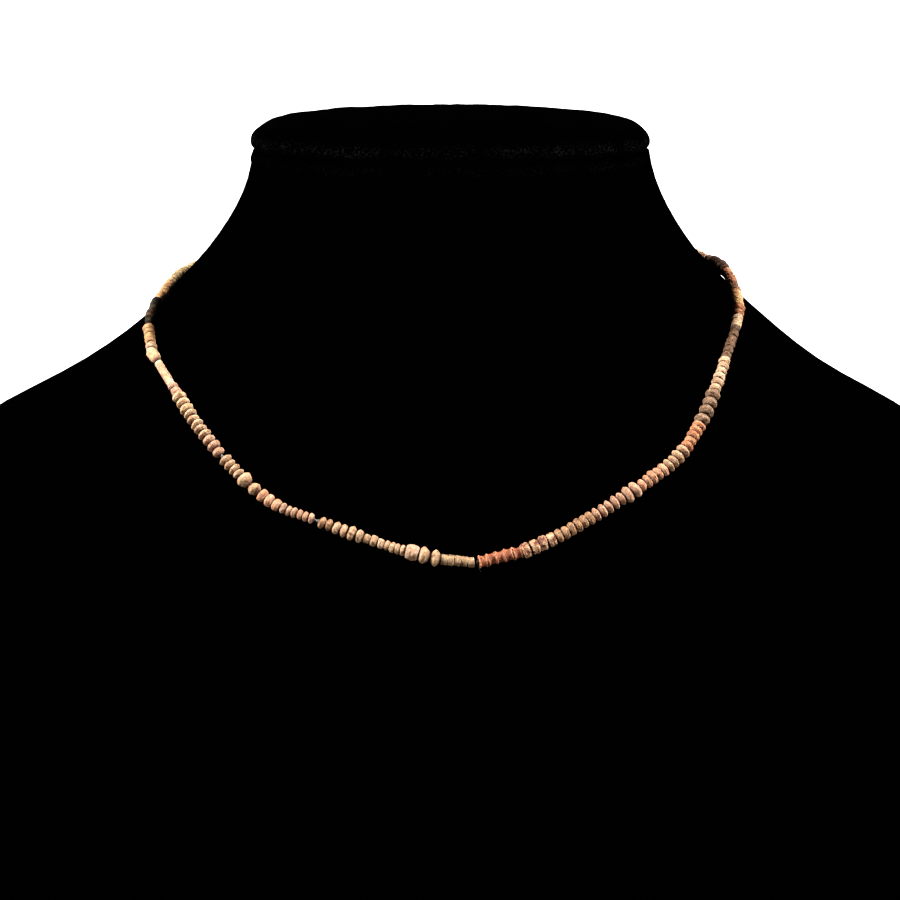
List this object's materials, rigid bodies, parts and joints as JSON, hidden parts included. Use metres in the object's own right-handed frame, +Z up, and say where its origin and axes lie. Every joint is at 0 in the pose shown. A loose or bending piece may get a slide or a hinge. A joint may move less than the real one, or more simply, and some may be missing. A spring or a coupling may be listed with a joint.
{
  "type": "terracotta bead necklace on a neck bust",
  "caption": "Strand of small handmade fired-clay beads on a thin thread knotted at the front, worn by a plain velvet neck-and-shoulders bust.",
  "frame": {"origin": "middle of the bust's flat foot", "axes": "+Z up the neck, -Y towards the front where the knot hangs, +X to the right as seen from the front"},
  "size_m": [0.3142, 0.1458, 0.2506],
  "materials": {
    "velvet": "black velvet pile",
    "clay": "matte fired clay",
    "line": "translucent thread"
  },
  "bodies": {
    "root": {"bust": "velvet", "bust_cap": "velvet", "thread": "line", "knot": "line", "beads_left": "clay", "beads_right": "clay"}
  },
  "joints": []
}
